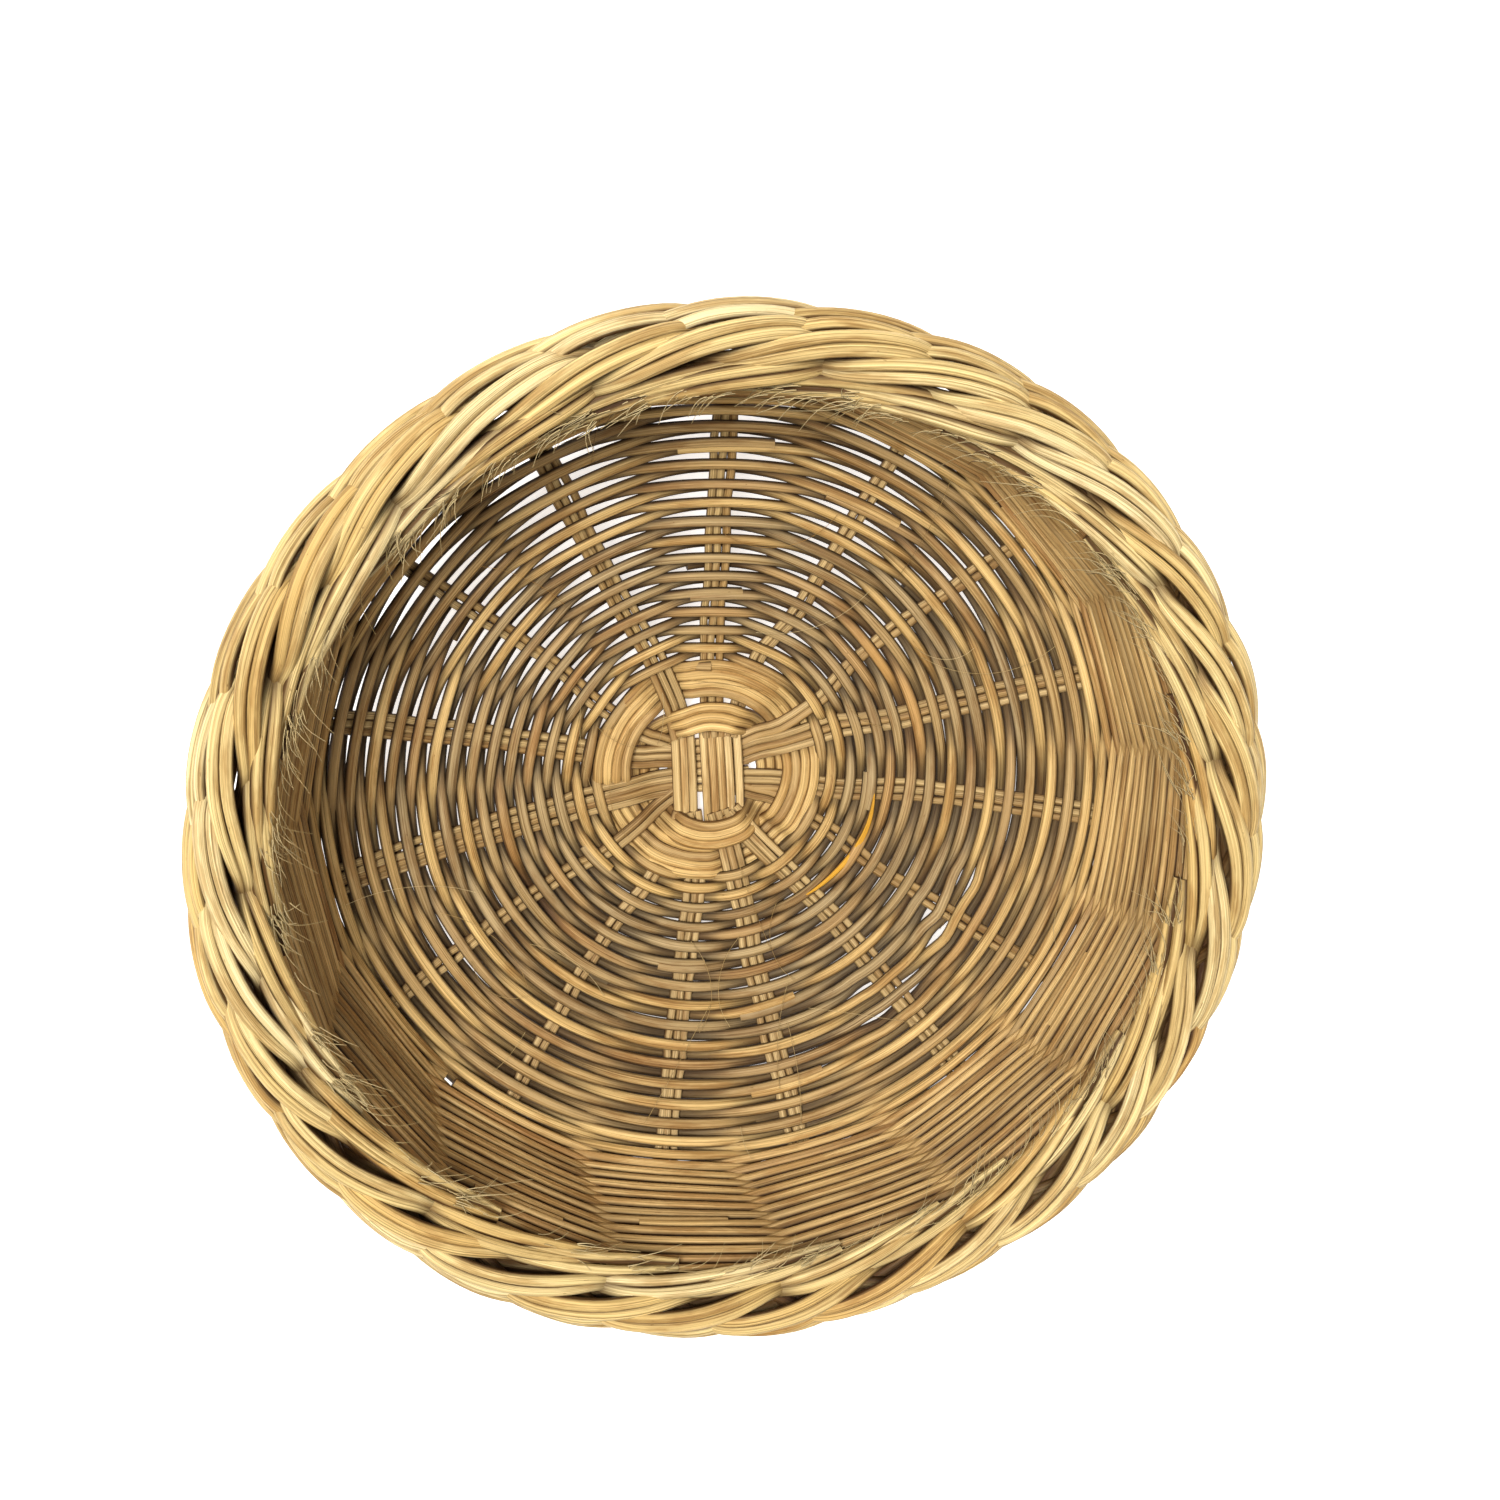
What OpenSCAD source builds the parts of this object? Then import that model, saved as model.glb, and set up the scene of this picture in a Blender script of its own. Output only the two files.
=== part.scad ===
// Woven wicker basket, round, with a dished base and a plaited border.
// Stakes fan out from the slath in the middle, and canes are woven in and out
// of them, over the base and up the wall. The border closes the top.
// Origin: on the floor under the middle of the base. +Z is up. Units: mm.

/* [Stakes] */
// number of stakes that fan out from the middle
stake_count = 15; // [9:2:21]
// width of one stake, a flat bunch of canes side by side
stake_w = 7.6; // [4:0.2:12]
// thickness of the canes in a stake
stake_t = 3; // [2:0.1:5]
// sideways lean of the stakes up the wall, in degrees
stake_lean = 14; // [0:1:20]

/* [Base] */
// radius of the base, out to where the stakes turn up
base_r = 114; // [80:1:160]
// how far the middle of the base hangs below its edge
base_sag = 27; // [5:1:40]
// thickness of the woven base
base_t = 8.4; // [6:0.2:12]

/* [Wall] */
// height of the top of the wall weave above the floor
wall_top_z = 88; // [60:1:140]
// how much wider the wall is at its top than at its foot
wall_flare = 5; // [0:0.5:30]
// thickness of the woven wall
wall_t = 8.4; // [6:0.2:12]

/* [Border] */
// radius of the outside of the border
border_r = 143; // [100:1:190]
// width of the border, inside to outside
border_w = 22; // [12:1:36]
// height of the border
border_h = 13; // [8:0.5:24]
// angle that the border drops towards its outside
border_tilt = 6; // [0:1:30]

/* [Slath] */
// half length of the crossing bunches in the middle
slath_half = 25; // [16:1:40]
// width of one crossing bunch
bunch_w = 10.6; // [6:0.2:16]
// gap between the two bunches of a pair
bunch_gap = 1.6; // [0:0.2:8]
// thickness of the canes in a crossing bunch
bunch_t = 3; // [2:0.1:5]
// width of the lashing band round the slath
lash_w = 9; // [3:0.5:15]
// thickness of one lashing cane
lash_t = 3; // [2:0.1:5]

/* [Hidden] */
// smoothness of the curves
$fn = 120;
stake_step = 360 / stake_count;
// direction of the first stake
first_stake = 90;

// heights in the middle of the base
under_z = lash_t;
over_z = under_z + bunch_t;
slath_top = over_z + bunch_t;
mid_z = over_z;

// width of the square where the bunches cross
slath_w = 2 * bunch_w + bunch_gap;

// the stakes start at the edge of the slath, the base weave outside the lashing
stake_r0 = slath_half;
weave_r0 = slath_half + lash_w;

// height of the middle of the woven base at radius r
function dish_z(r) = mid_z + base_sag * pow(r / base_r, 1.9);

// the line that the middle of the weave follows, from the slath up to the rim
dish_steps = 9;
bend_steps = 4;
dish_line = [for (i = [0 : dish_steps])
    let (r = weave_r0 + (base_r - weave_r0) * i / dish_steps)
    [r, dish_z(r)]];
wall_foot = [base_r + 7.5, dish_z(base_r) + 9];
wall_head = [wall_foot[0] + wall_flare, wall_top_z + 2];
bend_corner = [base_r + 5.6, dish_z(base_r) + 2.4];
bend_line = [for (i = [1 : bend_steps - 1])
    let (t = i / bend_steps)
    (1 - t) * (1 - t) * [base_r, dish_z(base_r)]
        + 2 * t * (1 - t) * bend_corner + t * t * wall_foot];
mid_line = concat([[stake_r0 - 4, mid_z + 0.6]], dish_line, bend_line,
    [wall_foot, wall_head]);
last = len(mid_line) - 1;

// the wall weave takes over from the base weave at this point of the line
seam = 1 + dish_steps + 2;

// direction across the line at point i, towards the inside of the basket
function ahead(i) = mid_line[min(i + 1, last)] - mid_line[max(i - 1, 0)];
function inward(i) = let (d = ahead(i)) [-d[1], d[0]] / norm(d);

// the outline of a band of thickness t that follows the line from point a to b
function band(a, b, t) = concat(
    [for (i = [a : b]) mid_line[i] - t / 2 * inward(i)],
    [for (i = [b : -1 : a]) mid_line[i] + t / 2 * inward(i)]);

function stake_angle(n) = first_stake + (n - 1) * stake_step;

// which sub-part to draw, or all of them

// one crossing bunch along X: side 1 is towards +Y, z is its underside
module bunch(side, z) {
    y0 = side > 0 ? bunch_gap / 2 : -bunch_gap / 2 - bunch_w;
    intersection() {
        translate([-slath_half, y0, z])
            cube([2 * slath_half, bunch_w, bunch_t]);
        cylinder(h = slath_top + 10, r = slath_half);
    }
}

// the room below the flat underside of the border
module below_border() {
    cylinder(h = wall_top_z, r = border_r + 10);
}

// one stake: out along the base, round the bend and up the wall with its lean
module stake_solid(n) {
    rotate([0, 0, stake_angle(n)])
    intersection() {
        union() {
            intersection() {
                rotate_extrude()
                    polygon(band(0, last - 1, stake_t));
                translate([stake_r0, -stake_w / 2, 0])
                    cube([border_r, stake_w, wall_top_z]);
            }
            intersection() {
                rotate_extrude()
                    polygon(band(last - 1, last, stake_t));
                translate([base_r - 10, 0, wall_foot[1]])
                    rotate([-stake_lean, 0, 0])
                    translate([0, -stake_w / 2, -20])
                    cube([border_r, stake_w, 2 * wall_top_z]);
            }
        }
        below_border();
    }
}

// the room that all the stakes take out of what is woven round them
module stake_room() {
    for (n = [1 : stake_count])
        stake_solid(n);
}

// the four bunches where they cross
module slath_room() {
    for (side = [-1, 1]) {
        bunch(side, under_z);
        rotate([0, 0, 90])
            bunch(side, over_z);
    }
}

// the lashing canes, wound over and under the ends of the bunches
// the basket stands on their flat underside
module slath_lashing() {
    color("burlywood")
    difference() {
        cylinder(h = slath_top + lash_t, r = weave_r0);
        translate([0, 0, slath_top / 2])
            cube([slath_w, slath_w, 2 * slath_top + 20], center = true);
        slath_room();
        stake_room();
    }
}

// the canes woven in and out of the stakes over the base
module base_weave() {
    color("tan")
    difference() {
        rotate_extrude()
            polygon(band(1, seam, base_t));
        cylinder(h = wall_top_z, r = weave_r0);
        stake_room();
    }
}

// the canes woven in and out of the stakes up the wall
module wall_weave() {
    color("tan")
    difference() {
        intersection() {
            rotate_extrude()
                polygon(band(seam, last, wall_t));
            below_border();
        }
        stake_room();
    }
}

// section of the border: rounded, flat underneath, lower on the outside
border_steps = 12;
function border_edge(t) = let (
    x = -cos(t) * border_w / 2,
    z = sin(t) * border_h * (0.86 + 0.14 * cos(t)) - x * sin(border_tilt))
    [border_r - border_w / 2 + x, wall_top_z + max(z, 0)];
border_outline = concat(
    [[border_r - border_w + 2, wall_top_z]],
    [for (i = [1 : border_steps - 1]) border_edge(180 * i / border_steps)],
    [[border_r - 2, wall_top_z]]);

// one part of the border: the end of a stake, laid along the rim and plaited
module border_part(n) {
    color("wheat")
    rotate([0, 0, stake_angle(n)])
    rotate_extrude(angle = stake_step)
        polygon(border_outline);
}

module stake_part(n) {
    color("peru")
        stake_solid(n);
}

module slath_under_front() {
    color("sienna")
        bunch(-1, under_z);
}

module slath_under_back() {
    color("sienna")
        bunch(1, under_z);
}

module slath_over_left() {
    color("sienna")
        rotate([0, 0, 90])
        bunch(1, over_z);
}

module slath_over_right() {
    color("sienna")
        rotate([0, 0, 90])
        bunch(-1, over_z);
}

module stake_01() { stake_part(1); }
module stake_02() { stake_part(2); }
module stake_03() { stake_part(3); }
module stake_04() { stake_part(4); }
module stake_05() { stake_part(5); }
module stake_06() { stake_part(6); }
module stake_07() { stake_part(7); }
module stake_08() { stake_part(8); }
module stake_09() { stake_part(9); }
module stake_10() { stake_part(10); }
module stake_11() { stake_part(11); }
module stake_12() { stake_part(12); }
module stake_13() { stake_part(13); }
module stake_14() { stake_part(14); }
module stake_15() { stake_part(15); }

module border_01() { border_part(1); }
module border_02() { border_part(2); }
module border_03() { border_part(3); }
module border_04() { border_part(4); }
module border_05() { border_part(5); }
module border_06() { border_part(6); }
module border_07() { border_part(7); }
module border_08() { border_part(8); }
module border_09() { border_part(9); }
module border_10() { border_part(10); }
module border_11() { border_part(11); }
module border_12() { border_part(12); }
module border_13() { border_part(13); }
module border_14() { border_part(14); }
module border_15() { border_part(15); }

slath_under_front();
slath_under_back();
slath_over_left();
slath_over_right();
slath_lashing();
stake_01();
stake_02();
stake_03();
stake_04();
stake_05();
stake_06();
stake_07();
stake_08();
stake_09();
stake_10();
stake_11();
stake_12();
stake_13();
stake_14();
stake_15();
base_weave();
wall_weave();
border_01();
border_02();
border_03();
border_04();
border_05();
border_06();
border_07();
border_08();
border_09();
border_10();
border_11();
border_12();
border_13();
border_14();
border_15();
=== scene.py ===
import math

import bpy
import numpy as np
from mathutils import Matrix, Vector


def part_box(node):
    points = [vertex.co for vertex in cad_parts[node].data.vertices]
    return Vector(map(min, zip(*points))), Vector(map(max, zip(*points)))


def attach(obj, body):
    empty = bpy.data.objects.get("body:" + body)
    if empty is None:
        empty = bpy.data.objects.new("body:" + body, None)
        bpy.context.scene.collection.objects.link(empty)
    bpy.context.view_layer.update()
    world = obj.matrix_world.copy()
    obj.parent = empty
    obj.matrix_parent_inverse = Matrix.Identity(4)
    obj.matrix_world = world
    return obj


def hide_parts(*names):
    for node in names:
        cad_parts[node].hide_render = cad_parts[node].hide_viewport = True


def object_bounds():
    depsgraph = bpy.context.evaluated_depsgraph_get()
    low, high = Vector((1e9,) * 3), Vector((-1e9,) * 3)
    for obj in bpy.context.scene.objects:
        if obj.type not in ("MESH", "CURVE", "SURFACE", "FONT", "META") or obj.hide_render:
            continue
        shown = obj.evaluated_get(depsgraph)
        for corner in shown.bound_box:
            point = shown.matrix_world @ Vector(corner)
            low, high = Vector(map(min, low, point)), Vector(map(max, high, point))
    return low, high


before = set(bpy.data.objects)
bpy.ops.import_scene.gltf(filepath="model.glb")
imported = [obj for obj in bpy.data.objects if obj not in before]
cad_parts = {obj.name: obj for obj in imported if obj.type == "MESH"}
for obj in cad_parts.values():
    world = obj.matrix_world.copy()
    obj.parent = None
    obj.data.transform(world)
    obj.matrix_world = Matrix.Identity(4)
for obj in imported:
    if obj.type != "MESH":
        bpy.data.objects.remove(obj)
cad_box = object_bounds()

MM = 0.001
TURN = 2 * math.pi


# ---------------------------------------------------------------- camera

def aim(obj, place, target, up):
    """Puts obj at place, looking at target, with up towards its top edge."""
    ahead = (Vector(target) - Vector(place)).normalized()
    right = ahead.cross(Vector(up)).normalized()
    top = right.cross(ahead)
    turn = Matrix((right, top, -ahead)).transposed().to_4x4()
    obj.matrix_world = Matrix.Translation(Vector(place)) @ turn


camera_data = bpy.data.cameras.new("camera")
camera = bpy.data.objects.new("camera", camera_data)
bpy.context.scene.collection.objects.link(camera)
bpy.context.scene.camera = camera
camera_data.sensor_width = 36
camera_data.lens = 38.2
camera_data.clip_start = 0.01
aim(camera, (-0.058, 0.140, 0.482), (0.0035, 0.0245, 0.069), (0, 1, 0))


# ---------------------------------------------------------------- sizes, in mm

STAKES = 15
RIM_R = cad_box[1][0] / MM
WALL_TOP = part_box("wall_weave")[1][2] / MM
LASH_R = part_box("slath_lashing")[1][0] / MM
BASE_R = 114.0
BASE_SAG = 27.0
MID_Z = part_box("slath_over_left")[0][2] / MM
WALL_FLARE = 5.0
LEAN = math.tan(math.radians(14))
BORDER_R = RIM_R - 11.0
BORDER_Z = WALL_TOP + 4.0
BASE_PITCH, WALL_PITCH = 3.06, 2.04     # between neighbouring rows of weaving
BASE_SWING, WALL_SWING = 2.4, 2.6       # how far a weaver swings out over and under a stake
LASH_CANE, BORDER_CANE, STAKE_CANE = 1.68, 1.66, 1.33   # radius of a cane
STAKE_GAP = 2.45                        # between the canes of one stake
BASE_POINTS = 25                        # points of the weave line that lie on the base


def dish_z(r):
    """Height of the middle of the woven base at radius r."""
    return MID_Z + BASE_SAG * (r / BASE_R) ** 1.9


def weave_line():
    """The line from the lashing out along the base, round the bend and up the wall."""
    pts = [(r, dish_z(r)) for r in np.linspace(LASH_R, BASE_R, BASE_POINTS)]
    edge = np.array([BASE_R, dish_z(BASE_R)])
    corner = edge + (5.6, 2.4)
    foot = edge + (7.5, 9.0)
    for t in np.linspace(0, 1, 9)[1:]:
        pts.append(tuple((1 - t) ** 2 * edge + 2 * t * (1 - t) * corner + t * t * foot))
    head = np.array([foot[0] + WALL_FLARE, WALL_TOP + 3])
    for t in np.linspace(0, 1, 15)[1:]:
        pts.append(tuple(foot + t * (head - foot)))
    return np.array(pts), foot


LINE, FOOT = weave_line()
STEP = np.hypot(*np.diff(LINE, axis=0).T)
LINE_S = np.concatenate([[0], np.cumsum(STEP)])
SLOPE = np.gradient(LINE, LINE_S, axis=0)
ACROSS = np.stack([-SLOPE[:, 1], SLOPE[:, 0]], 1)
LINE_N = ACROSS / np.linalg.norm(ACROSS, axis=1)[:, None]
S_END = LINE_S[-1]
S_FOOT = float(np.interp(FOOT[1], LINE[:, 1], LINE_S))
S_EDGE = float(np.interp(dish_z(BASE_R), LINE[:, 1], LINE_S))


def on_line(s):
    """Radius, height and inward direction of the weave line at distance s from the lashing."""
    return (np.interp(s, LINE_S, LINE[:, 0]), np.interp(s, LINE_S, LINE[:, 1]),
            np.interp(s, LINE_S, LINE_N[:, 0]), np.interp(s, LINE_S, LINE_N[:, 1]))


def from_lashing(r):
    """Distance along the weave line at which the base has radius r."""
    return np.interp(r, LINE[:BASE_POINTS, 0], LINE_S[:BASE_POINTS])


# directions of the stakes, in degrees: where each leaves the lashing, and at the base edge
LEAVE = np.array([90, 114, 146, 166, 190, 216, 240, 262, 284, 306, 335, 351, 382, 393, 430]) % 360
REACH = np.array([89, 116, 141, 166, 190, 211, 235, 261, 282, 309, 329, 355, 377, 400, 423]) % 360
LEAVE[12:] += 360
REACH[12:] += 360


def smooth(x):
    """Rises gently from 0 to 1 as x does."""
    x = np.clip(x, 0, 1)
    return x * x * (3 - 2 * x)


def stake_angle(k, s):
    """Direction of stake k at distance s along the weave line, in radians. k may pass round."""
    k = np.asarray(k)
    turns, k = np.divmod(k, STAKES)
    r, z, _, _ = on_line(s)
    w = smooth((r - 30) / 34)
    a = np.radians(LEAVE[k] * (1 - w) + REACH[k] * w)
    lean = LEAN * np.clip(z - FOOT[1], 0, None) / np.maximum(r, 1)
    return a + lean + TURN * turns


def on_weave(theta, s, lift):
    """Points on the woven surface, lifted towards the inside of the basket."""
    r, z, nr, nz = on_line(s)
    off_centre = 2.1 * np.cos(theta - math.radians(125)) * (1 - smooth((r - 34) / 60))
    r = r + off_centre + nr * lift
    z = z + nz * lift
    return np.stack([r * np.cos(theta), r * np.sin(theta), z], 1)


# ---------------------------------------------------------------- canes as lines

class Wander:
    """Slow random drift along a cane."""

    def __init__(self, rng, reach, longest):
        self.waves = [(reach * rng.uniform(0.3, 1) / (i + 1), rng.uniform(0, TURN),
                       TURN / (longest * rng.uniform(0.35, 1) / (i + 1))) for i in range(3)]

    def __call__(self, x):
        return sum(a * np.sin(f * x + p) for a, p, f in self.waves)


class Lines:
    """The middle lines of a set of canes, with a thickness and a tone for each point."""

    def __init__(self):
        self.points, self.edges, self.thick, self.along, self.tone = [], [], [], [], []
        self.open, self.lift = [], []
        self.count = 0

    def add(self, pts, radius, tone, start=0.0, open=(0, 0, 1), lift=1.0):
        """open points out of the hollows, and lift says how far the cane is out on that side; the
        finish paints shade and highlight from both.
        """
        pts = np.asarray(pts, float)
        n = len(pts)
        run = np.concatenate([[0], np.cumsum(np.linalg.norm(np.diff(pts, axis=0), axis=1))])
        self.points.append(pts * MM)
        self.edges.append(np.stack([np.arange(n - 1), np.arange(1, n)], 1) + self.count)
        self.thick.append(np.broadcast_to(np.asarray(radius, float) * MM, n))
        self.tone.append(np.broadcast_to(np.asarray(tone, float), n))
        self.along.append(run * MM + start)
        self.open.append(np.broadcast_to(np.asarray(open, float), (n, 3)))
        self.lift.append(np.broadcast_to(np.asarray(lift, float), n))
        self.count += n

    def mesh(self, name):
        mesh = bpy.data.meshes.new(name)
        pts, edges = np.concatenate(self.points), np.concatenate(self.edges)
        mesh.vertices.add(len(pts))
        mesh.vertices.foreach_set("co", pts.astype(np.float32).ravel())
        mesh.edges.add(len(edges))
        mesh.edges.foreach_set("vertices", edges.astype(np.int32).ravel())
        for key, parts in (("thick", self.thick), ("along", self.along), ("tone", self.tone),
                           ("lift", self.lift)):
            layer = mesh.attributes.new(key, "FLOAT", "POINT")
            layer.data.foreach_set("value", np.concatenate(parts).astype(np.float32))
        layer = mesh.attributes.new("open", "FLOAT_VECTOR", "POINT")
        layer.data.foreach_set("vector", np.concatenate(self.open).astype(np.float32).ravel())
        mesh.update()
        return mesh


def curve_through(knots, n):
    """A smooth line of n points through the knots."""
    knots = np.asarray(knots, float)
    k = np.vstack([2 * knots[0] - knots[1], knots, 2 * knots[-1] - knots[-2]])
    span = np.linspace(0, len(knots) - 1 - 1e-9, n)
    i = span.astype(int)
    t = (span - i)[:, None]
    a, b, c, d = k[i], k[i + 1], k[i + 2], k[i + 3]
    return 0.5 * (2 * b + (c - a) * t + (2 * a - 5 * b + 4 * c - d) * t ** 2
                  + (3 * b - a - 3 * c + d) * t ** 3)


# ---------------------------------------------------------------- the cane tree

def link(tree, a, b):
    tree.links.new(a, b)


def node(tree, kind, **settings):
    n = tree.nodes.new(kind)
    for key, value in settings.items():
        setattr(n, key, value)
    return n


def cane_tree():
    """Geometry nodes that grow round canes along lines, with ridges that run along them."""
    tree = bpy.data.node_groups.new("canes along lines", "GeometryNodeTree")
    face = tree.interface
    face.new_socket("Geometry", in_out="INPUT", socket_type="NodeSocketGeometry")
    for name, kind in (("Sides", "Int"), ("Ridge Depth", "Float"), ("Ridge Count", "Float"),
                       ("Seed", "Float"), ("Material", "Material")):
        face.new_socket(name, in_out="INPUT", socket_type="NodeSocket" + kind)
    face.new_socket("Geometry", in_out="OUTPUT", socket_type="NodeSocketGeometry")
    given = node(tree, "NodeGroupInput")
    out = node(tree, "NodeGroupOutput")

    def named(name, kind):
        n = node(tree, "GeometryNodeInputNamedAttribute", data_type=kind)
        n.inputs["Name"].default_value = name
        return n.outputs["Attribute"]

    to_curve = node(tree, "GeometryNodeMeshToCurve")
    link(tree, given.outputs["Geometry"], to_curve.inputs["Mesh"])
    ring = node(tree, "GeometryNodeCurvePrimitiveCircle", mode="RADIUS")
    ring.inputs["Radius"].default_value = 1.0
    link(tree, given.outputs["Sides"], ring.inputs["Resolution"])
    store = node(tree, "GeometryNodeStoreNamedAttribute", data_type="FLOAT_VECTOR", domain="POINT")
    store.inputs["Name"].default_value = "across"
    link(tree, ring.outputs["Curve"], store.inputs["Geometry"])
    place = node(tree, "GeometryNodeInputPosition")
    link(tree, place.outputs[0], store.inputs["Value"])
    sweep = node(tree, "GeometryNodeCurveToMesh")
    sweep.inputs["Fill Caps"].default_value = True
    link(tree, to_curve.outputs["Curve"], sweep.inputs["Curve"])
    link(tree, store.outputs["Geometry"], sweep.inputs["Profile Curve"])
    link(tree, named("thick", "FLOAT"), sweep.inputs["Scale"])

    # ridges: noise that changes quickly across the cane and slowly along it
    spread = node(tree, "ShaderNodeVectorMath", operation="SCALE")
    link(tree, named("across", "FLOAT_VECTOR"), spread.inputs[0])
    link(tree, given.outputs["Ridge Count"], spread.inputs["Scale"])
    run = node(tree, "ShaderNodeMath", operation="MULTIPLY")
    link(tree, named("along", "FLOAT"), run.inputs[0])
    run.inputs[1].default_value = 14.0
    lift = node(tree, "ShaderNodeCombineXYZ")
    link(tree, run.outputs[0], lift.inputs["Z"])
    where = node(tree, "ShaderNodeVectorMath", operation="ADD")
    link(tree, spread.outputs[0], where.inputs[0])
    link(tree, lift.outputs[0], where.inputs[1])
    noise = node(tree, "ShaderNodeTexNoise", noise_dimensions="4D")
    noise.inputs["Scale"].default_value = 1.0
    noise.inputs["Detail"].default_value = 2.0
    link(tree, where.outputs[0], noise.inputs["Vector"])
    link(tree, given.outputs["Seed"], noise.inputs["W"])
    centred = node(tree, "ShaderNodeMath", operation="SUBTRACT")
    link(tree, noise.outputs[0], centred.inputs[0])
    centred.inputs[1].default_value = 0.5
    sized = node(tree, "ShaderNodeMath", operation="MULTIPLY")
    link(tree, centred.outputs[0], sized.inputs[0])
    link(tree, named("thick", "FLOAT"), sized.inputs[1])
    deep = node(tree, "ShaderNodeMath", operation="MULTIPLY")
    link(tree, sized.outputs[0], deep.inputs[0])
    link(tree, given.outputs["Ridge Depth"], deep.inputs[1])
    normal = node(tree, "GeometryNodeInputNormal")
    push = node(tree, "ShaderNodeVectorMath", operation="SCALE")
    link(tree, normal.outputs[0], push.inputs[0])
    link(tree, deep.outputs[0], push.inputs["Scale"])
    move = node(tree, "GeometryNodeSetPosition")
    link(tree, sweep.outputs["Mesh"], move.inputs["Geometry"])
    link(tree, push.outputs[0], move.inputs["Offset"])

    shade = node(tree, "GeometryNodeSetShadeSmooth")
    link(tree, move.outputs["Geometry"], shade.inputs["Geometry"])
    real = node(tree, "GeometryNodeRealizeInstances")
    link(tree, shade.outputs["Geometry"], real.inputs[0])
    paint = node(tree, "GeometryNodeSetMaterial")
    link(tree, real.outputs[0], paint.inputs["Geometry"])
    link(tree, given.outputs["Material"], paint.inputs["Material"])
    link(tree, paint.outputs[0], out.inputs[0])
    return tree


CANES = cane_tree()


def grow(name, lines, material, nodes=(), sides=10, ridge=0.22, ridges=1.3, seed=1.0):
    """Grows the canes of lines into one plain mesh piece of the basket."""
    source = bpy.data.objects.new(name + "_lines", lines.mesh(name + "_lines"))
    bpy.context.scene.collection.objects.link(source)
    mod = source.modifiers.new("canes", "NODES")
    mod.node_group = CANES
    keys = {i.name: i.identifier for i in CANES.interface.items_tree
            if i.item_type == "SOCKET" and i.in_out == "INPUT"}
    for key, value in (("Sides", sides), ("Ridge Depth", ridge), ("Ridge Count", ridges),
                       ("Seed", seed), ("Material", material)):
        mod[keys[key]] = value
    ready = source.evaluated_get(bpy.context.evaluated_depsgraph_get())
    mesh = bpy.data.meshes.new_from_object(ready)
    mesh.name = name
    source.modifiers.remove(mod)
    bpy.data.objects.remove(source)
    piece = bpy.data.objects.new(name, mesh)
    bpy.context.scene.collection.objects.link(piece)
    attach(piece, "root")
    if nodes:
        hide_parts(*nodes)
    return piece


# ---------------------------------------------------------------- cane finish

def ramp(tree, stops):
    n = node(tree, "ShaderNodeValToRGB")
    while len(n.color_ramp.elements) < len(stops):
        n.color_ramp.elements.new(0.5)
    for e, (at, colour) in zip(n.color_ramp.elements, stops):
        e.position = at
        e.color = (*colour, 1) if len(colour) == 3 else colour
    return n


# painted shade: what counts towards a surface being out of the hollows, and so painted lighter:
# facing out, and the cane lying out
FACING_SHARE, LIFT_SHARE = 0.72, 0.42


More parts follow.
